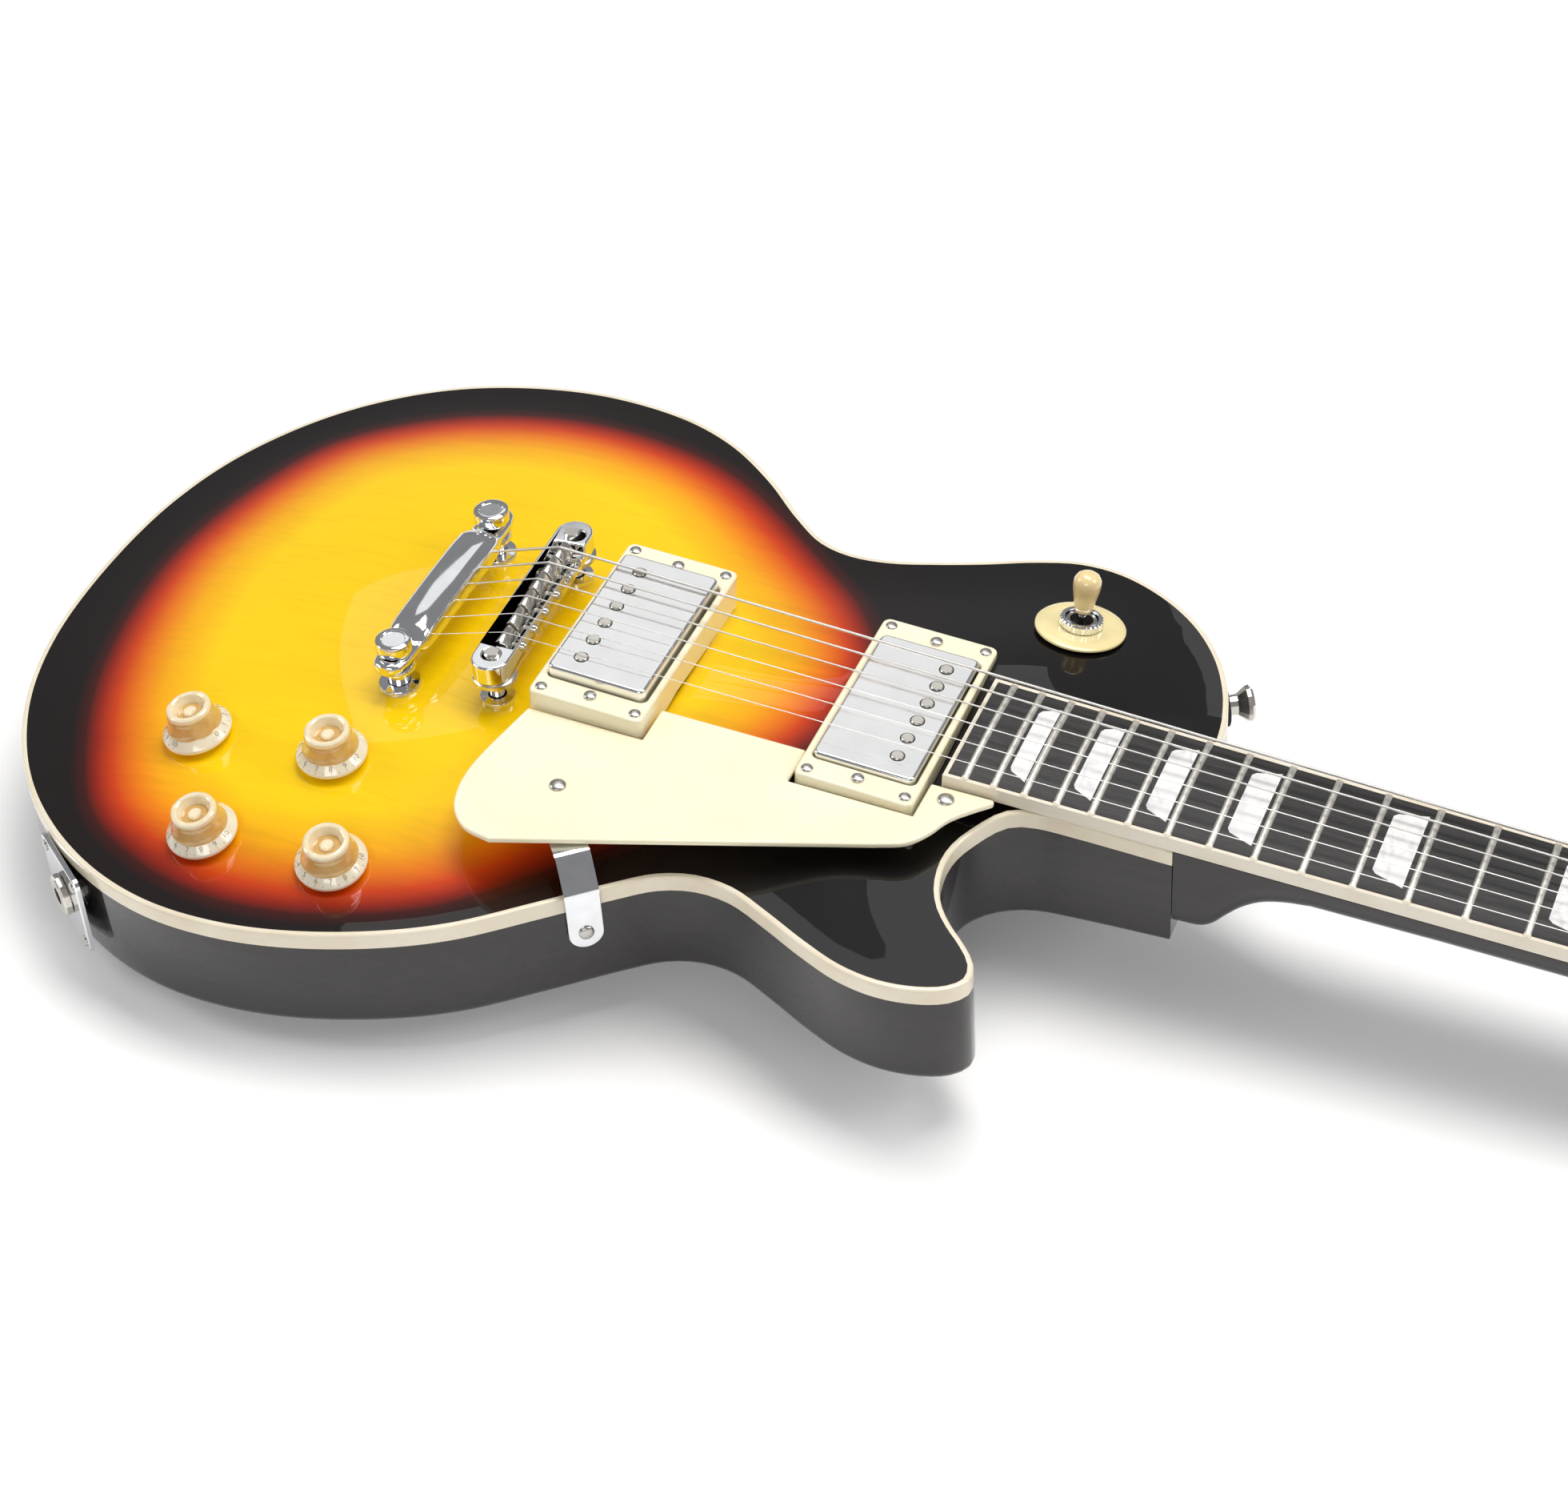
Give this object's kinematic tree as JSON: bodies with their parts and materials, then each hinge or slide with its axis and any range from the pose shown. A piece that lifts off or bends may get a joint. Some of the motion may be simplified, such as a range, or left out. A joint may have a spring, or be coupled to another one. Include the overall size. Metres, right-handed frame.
{
  "type": "electric guitar",
  "caption": "Solid-body electric guitar with carved sunburst top, cutaway, glued-in neck, covered pickups, adjustable bridge, stop tailpiece, knobs, selector switch and geared tuners.",
  "frame": {"origin": "on the flat back of the body, on the centre line, straight below the saddle line of the bridge", "axes": "+X along the neck to the headstock, +Y to the bass-string side, +Z out of the carved top; the back faces -Z"},
  "size_m": [1.0014, 0.334, 0.1341],
  "materials": {
    "amber_lacquer": "gloss sunburst lacquer, amber centre to black edge",
    "black_lacquer": "gloss lacquer",
    "black_plastic": "satin",
    "bone": "polished",
    "cream_plastic": "gloss",
    "dark_wood": "oiled",
    "gold_lacquer_knob": "clear gloss over gold",
    "ivory_plastic": "gloss",
    "nickel": "polished",
    "polished_chrome": "polished",
    "zinc_steel": "satin"
  },
  "bodies": {
    "guitar": {"body": "black_lacquer", "top_cap": "amber_lacquer", "body_binding": "ivory_plastic", "neck": "black_lacquer", "fretboard": "dark_wood", "fretboard_binding": "ivory_plastic", "nut": "bone", "truss_rod": "zinc_steel", "truss_rod_cover": "black_plastic", "tuner_housing_bass": "polished_chrome", "tuner_housing_treble": "polished_chrome", "pickup_ring_bridge": "cream_plastic", "pickup_ring_neck": "cream_plastic", "pickguard": "cream_plastic", "pickguard_bracket": "polished_chrome", "pot_volume_neck": "zinc_steel", "pot_tone_neck": "zinc_steel", "pot_volume_bridge": "zinc_steel", "pot_tone_bridge": "zinc_steel", "switch_housing": "zinc_steel", "switch_washer": "cream_plastic", "switch_nut": "polished_chrome", "control_cavity_cover": "black_plastic", "switch_cavity_cover": "black_plastic", "jack_plate": "polished_chrome", "jack_socket": "nickel", "strap_button_tail": "nickel", "strap_button_horn": "nickel"},
    "bridge": {"bridge_body": "polished_chrome"},
    "bridge_post_bass": {"bridge_post_bass": "nickel"},
    "bridge_post_treble": {"bridge_post_treble": "nickel"},
    "saddle_1": {"saddle_1": "nickel"},
    "saddle_2": {"saddle_2": "nickel"},
    "saddle_3": {"saddle_3": "nickel"},
    "saddle_4": {"saddle_4": "nickel"},
    "saddle_5": {"saddle_5": "nickel"},
    "saddle_6": {"saddle_6": "nickel"},
    "tailpiece": {"tailpiece": "polished_chrome"},
    "tailpiece_stud_bass": {"tailpiece_stud_bass": "polished_chrome"},
    "tailpiece_stud_treble": {"tailpiece_stud_treble": "polished_chrome"},
    "knob_volume_neck": {"knob_volume_neck": "gold_lacquer_knob"},
    "knob_tone_neck": {"knob_tone_neck": "gold_lacquer_knob"},
    "knob_volume_bridge": {"knob_volume_bridge": "gold_lacquer_knob"},
    "knob_tone_bridge": {"knob_tone_bridge": "gold_lacquer_knob"},
    "switch_lever": {"switch_lever": "cream_plastic"},
    "pickup_bridge": {"pickup_bridge": "polished_chrome"},
    "pickup_neck": {"pickup_neck": "polished_chrome"},
    "tuner_button_bass_1": {"tuner_button_bass_1": "polished_chrome"},
    "tuner_post_bass_1": {"tuner_post_bass_1": "polished_chrome"},
    "tuner_button_treble_1": {"tuner_button_treble_1": "polished_chrome"},
    "tuner_post_treble_1": {"tuner_post_treble_1": "polished_chrome"},
    "tuner_button_bass_2": {"tuner_button_bass_2": "polished_chrome"},
    "tuner_post_bass_2": {"tuner_post_bass_2": "polished_chrome"},
    "tuner_button_treble_2": {"tuner_button_treble_2": "polished_chrome"},
    "tuner_post_treble_2": {"tuner_post_treble_2": "polished_chrome"},
    "tuner_button_bass_3": {"tuner_button_bass_3": "polished_chrome"},
    "tuner_post_bass_3": {"tuner_post_bass_3": "polished_chrome"},
    "tuner_button_treble_3": {"tuner_button_treble_3": "polished_chrome"},
    "tuner_post_treble_3": {"tuner_post_treble_3": "polished_chrome"}
  },
  "joints": [
    {"name": "bridge_lift", "type": "slide", "parent": "guitar", "child": "bridge", "axis": [0, 0, 1], "range_m": [-0.0005, 0.003]},
    {"name": "bridge_post_bass_turn", "type": "hinge", "parent": "bridge", "child": "bridge_post_bass", "pos_m": [-0.00184, 0.03698, 0.066], "axis": [0, 0, 1], "range_deg": [-721, 1081]},
    {"name": "bridge_post_treble_turn", "type": "hinge", "parent": "bridge", "child": "bridge_post_treble", "pos_m": [0.00044, -0.03698, 0.066], "axis": [0, 0, 1], "range_deg": [-721, 1081]},
    {"name": "saddle_1_slide", "type": "slide", "parent": "bridge", "child": "saddle_1", "axis": [0.9995, 0.0307, 0], "range_m": [-0.0025, 0.0025]},
    {"name": "saddle_2_slide", "type": "slide", "parent": "bridge", "child": "saddle_2", "axis": [0.9995, 0.0307, 0], "range_m": [-0.0025, 0.0025]},
    {"name": "saddle_3_slide", "type": "slide", "parent": "bridge", "child": "saddle_3", "axis": [0.9995, 0.0307, 0], "range_m": [-0.0025, 0.0025]},
    {"name": "saddle_4_slide", "type": "slide", "parent": "bridge", "child": "saddle_4", "axis": [0.9995, 0.0307, 0], "range_m": [-0.0025, 0.0025]},
    {"name": "saddle_5_slide", "type": "slide", "parent": "bridge", "child": "saddle_5", "axis": [0.9995, 0.0307, 0], "range_m": [-0.0025, 0.0025]},
    {"name": "saddle_6_slide", "type": "slide", "parent": "bridge", "child": "saddle_6", "axis": [0.9995, 0.0307, 0], "range_m": [-0.0025, 0.0025]},
    {"name": "tailpiece_lift", "type": "slide", "parent": "guitar", "child": "tailpiece", "axis": [0, 0, 1], "range_m": [-0.002, 0.003]},
    {"name": "tailpiece_stud_bass_turn", "type": "hinge", "parent": "tailpiece", "child": "tailpiece_stud_bass", "pos_m": [-0.0377, 0.041, 0.07], "axis": [0, 0, 1], "range_deg": [-721, 1081]},
    {"name": "tailpiece_stud_treble_turn", "type": "hinge", "parent": "tailpiece", "child": "tailpiece_stud_treble", "pos_m": [-0.0377, -0.041, 0.07], "axis": [0, 0, 1], "range_deg": [-721, 1081]},
    {"name": "knob_volume_neck_turn", "type": "hinge", "parent": "guitar", "child": "knob_volume_neck", "pos_m": [-0.04296, -0.08469, 0.05552], "axis": [0.0206, -0.0968, 0.9951], "range_deg": [-270, 0]},
    {"name": "knob_tone_neck_turn", "type": "hinge", "parent": "guitar", "child": "knob_tone_neck", "pos_m": [-0.09769, -0.08672, 0.05331], "axis": [-0.0954, -0.1105, 0.9893], "range_deg": [-270, 0]},
    {"name": "knob_volume_bridge_turn", "type": "hinge", "parent": "guitar", "child": "knob_volume_bridge", "pos_m": [-0.02089, -0.12934, 0.04793], "axis": [0.0544, -0.1717, 0.9836], "range_deg": [-270, 0]},
    {"name": "knob_tone_bridge_turn", "type": "hinge", "parent": "guitar", "child": "knob_tone_bridge", "pos_m": [-0.07207, -0.13036, 0.04856], "axis": [-0.035, -0.1781, 0.9834], "range_deg": [-270, 0]},
    {"name": "switch_lever_throw", "type": "hinge", "parent": "guitar", "child": "switch_lever", "pos_m": [0.18473, 0.07453, 0.04462], "axis": [0.996, -0.0071, -0.0892], "range_deg": [-12, 12]},
    {"name": "pickup_bridge_height", "type": "slide", "parent": "guitar", "child": "pickup_bridge", "axis": [0.0906, 0, 0.9959], "range_m": [-0.004, 0.0002]},
    {"name": "pickup_neck_height", "type": "slide", "parent": "guitar", "child": "pickup_neck", "axis": [0.0906, 0, 0.9959], "range_m": [-0.003, 0.003]},
    {"name": "tuner_button_bass_1_turn", "type": "hinge", "parent": "guitar", "child": "tuner_button_bass_1", "pos_m": [0.67563, 0.047, -0.02339], "axis": [0, 1, 0], "continuous": true},
    {"name": "tuner_post_bass_1_turn", "type": "hinge", "parent": "guitar", "child": "tuner_post_bass_1", "pos_m": [0.67546, 0.027, -0.00284], "axis": [0.3082, 0, 0.9513], "continuous": true},
    {"name": "tuner_button_treble_1_turn", "type": "hinge", "parent": "guitar", "child": "tuner_button_treble_1", "pos_m": [0.67563, -0.047, -0.02339], "axis": [0, -1, 0], "continuous": true},
    {"name": "tuner_post_treble_1_turn", "type": "hinge", "parent": "guitar", "child": "tuner_post_treble_1", "pos_m": [0.67546, -0.027, -0.00284], "axis": [0.3082, 0, 0.9513], "continuous": true},
    {"name": "tuner_button_bass_2_turn", "type": "hinge", "parent": "guitar", "child": "tuner_button_bass_2", "pos_m": [0.71369, 0.049, -0.03572], "axis": [0, 1, 0], "continuous": true},
    {"name": "tuner_post_bass_2_turn", "type": "hinge", "parent": "guitar", "child": "tuner_post_bass_2", "pos_m": [0.71351, 0.029, -0.01516], "axis": [0.3082, 0, 0.9513], "continuous": true},
    {"name": "tuner_button_treble_2_turn", "type": "hinge", "parent": "guitar", "child": "tuner_button_treble_2", "pos_m": [0.71369, -0.049, -0.03572], "axis": [0, -1, 0], "continuous": true},
    {"name": "tuner_post_treble_2_turn", "type": "hinge", "parent": "guitar", "child": "tuner_post_treble_2", "pos_m": [0.71351, -0.029, -0.01516], "axis": [0.3082, 0, 0.9513], "continuous": true},
    {"name": "tuner_button_bass_3_turn", "type": "hinge", "parent": "guitar", "child": "tuner_button_bass_3", "pos_m": [0.75174, 0.0475, -0.04805], "axis": [0, 1, 0], "continuous": true},
    {"name": "tuner_post_bass_3_turn", "type": "hinge", "parent": "guitar", "child": "tuner_post_bass_3", "pos_m": [0.75157, 0.0275, -0.02749], "axis": [0.3082, 0, 0.9513], "continuous": true},
    {"name": "tuner_button_treble_3_turn", "type": "hinge", "parent": "guitar", "child": "tuner_button_treble_3", "pos_m": [0.75174, -0.0475, -0.04805], "axis": [0, -1, 0], "continuous": true},
    {"name": "tuner_post_treble_3_turn", "type": "hinge", "parent": "guitar", "child": "tuner_post_treble_3", "pos_m": [0.75157, -0.0275, -0.02749], "axis": [0.3082, 0, 0.9513], "continuous": true}
  ],
  "couplings": [
    {"joint": "bridge_post_bass_turn", "follows": "bridge_lift", "rad_per_m": 6283.2},
    {"joint": "bridge_post_treble_turn", "follows": "bridge_lift", "rad_per_m": 6283.2},
    {"joint": "tailpiece_stud_bass_turn", "follows": "tailpiece_lift", "rad_per_m": 6283.2},
    {"joint": "tailpiece_stud_treble_turn", "follows": "tailpiece_lift", "rad_per_m": 6283.2},
    {"joint": "tuner_button_bass_1_turn", "follows": "tuner_post_bass_1_turn", "ratio": 14},
    {"joint": "tuner_button_treble_1_turn", "follows": "tuner_post_treble_1_turn", "ratio": 14},
    {"joint": "tuner_button_bass_2_turn", "follows": "tuner_post_bass_2_turn", "ratio": 14},
    {"joint": "tuner_button_treble_2_turn", "follows": "tuner_post_treble_2_turn", "ratio": 14},
    {"joint": "tuner_button_bass_3_turn", "follows": "tuner_post_bass_3_turn", "ratio": 14},
    {"joint": "tuner_button_treble_3_turn", "follows": "tuner_post_treble_3_turn", "ratio": 14}
  ]
}
